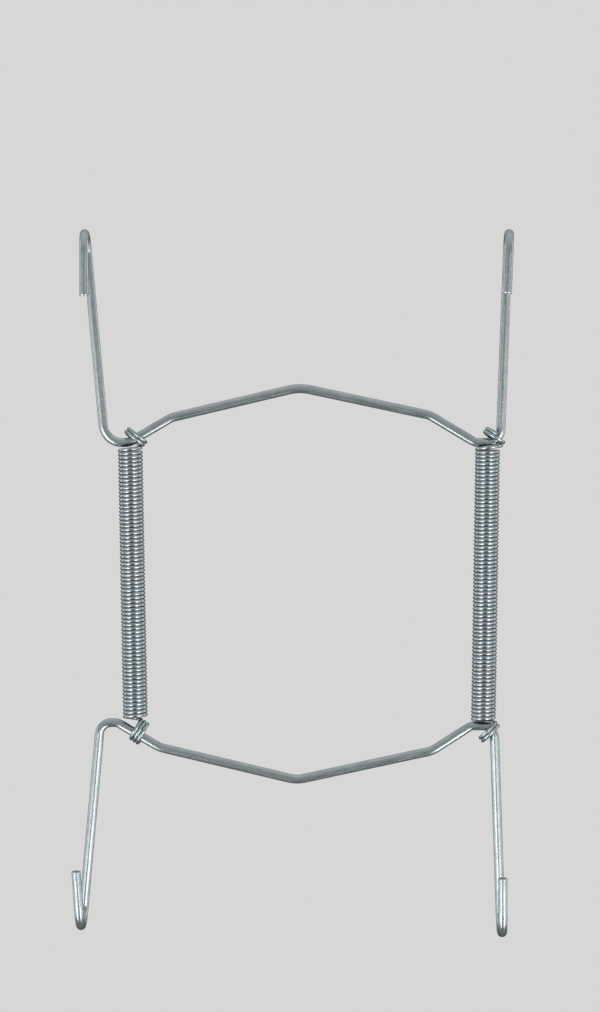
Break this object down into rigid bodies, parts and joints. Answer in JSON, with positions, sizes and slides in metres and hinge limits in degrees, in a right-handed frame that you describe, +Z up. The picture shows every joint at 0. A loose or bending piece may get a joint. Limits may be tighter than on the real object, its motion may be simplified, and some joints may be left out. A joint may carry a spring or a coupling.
{
  "type": "wire plate hanger",
  "caption": "Wire plate hanger: bent wire brackets with claws for a plate's rim, drawn together by close wound extension springs and hung on a nail by the upper bow.",
  "frame": {"origin": "underside of the upper bow at its top, where the nail bears", "axes": "+Z up on the wall, +X to the right as seen from the front, -Y to the front, the plate's side, where the claws reach; the legs, bows and spring axes lie in the plane Y = 0"},
  "size_m": [0.0669, 0.0093, 0.1074],
  "materials": {
    "bracket_wire": "drawn round wire, bright zinc plated, slightly clouded, with bare cut ends",
    "spring_wire": "hard drawn spring wire, bright zinc plated"
  },
  "bodies": {
    "upper_wire_bracket": {"upper_wire_bracket": "bracket_wire"},
    "left_spring": {"left_spring": "spring_wire"},
    "right_spring": {"right_spring": "spring_wire"},
    "lower_wire_bracket": {"lower_wire_bracket": "bracket_wire"}
  },
  "joints": [
    {"name": "upper_swivel", "type": "hinge", "parent": "upper_wire_bracket", "child": "left_spring", "pos_m": [0.00239, 0, -0.00668], "axis": [1, 0, 0], "range_deg": [-40, 40]},
    {"name": "spring_stretch", "type": "slide", "parent": "left_spring", "child": "right_spring", "axis": [0, 0, -1], "range_m": [0, 0.06], "stiffness_N_per_m": 820, "springref_m": -0.003, "deforming": ["left_spring", "right_spring"]},
    {"name": "lower_swivel", "type": "hinge", "parent": "right_spring", "child": "lower_wire_bracket", "pos_m": [0.00236, 0, -0.05167], "axis": [1, 0, 0.002], "range_deg": [-40, 40]}
  ]
}
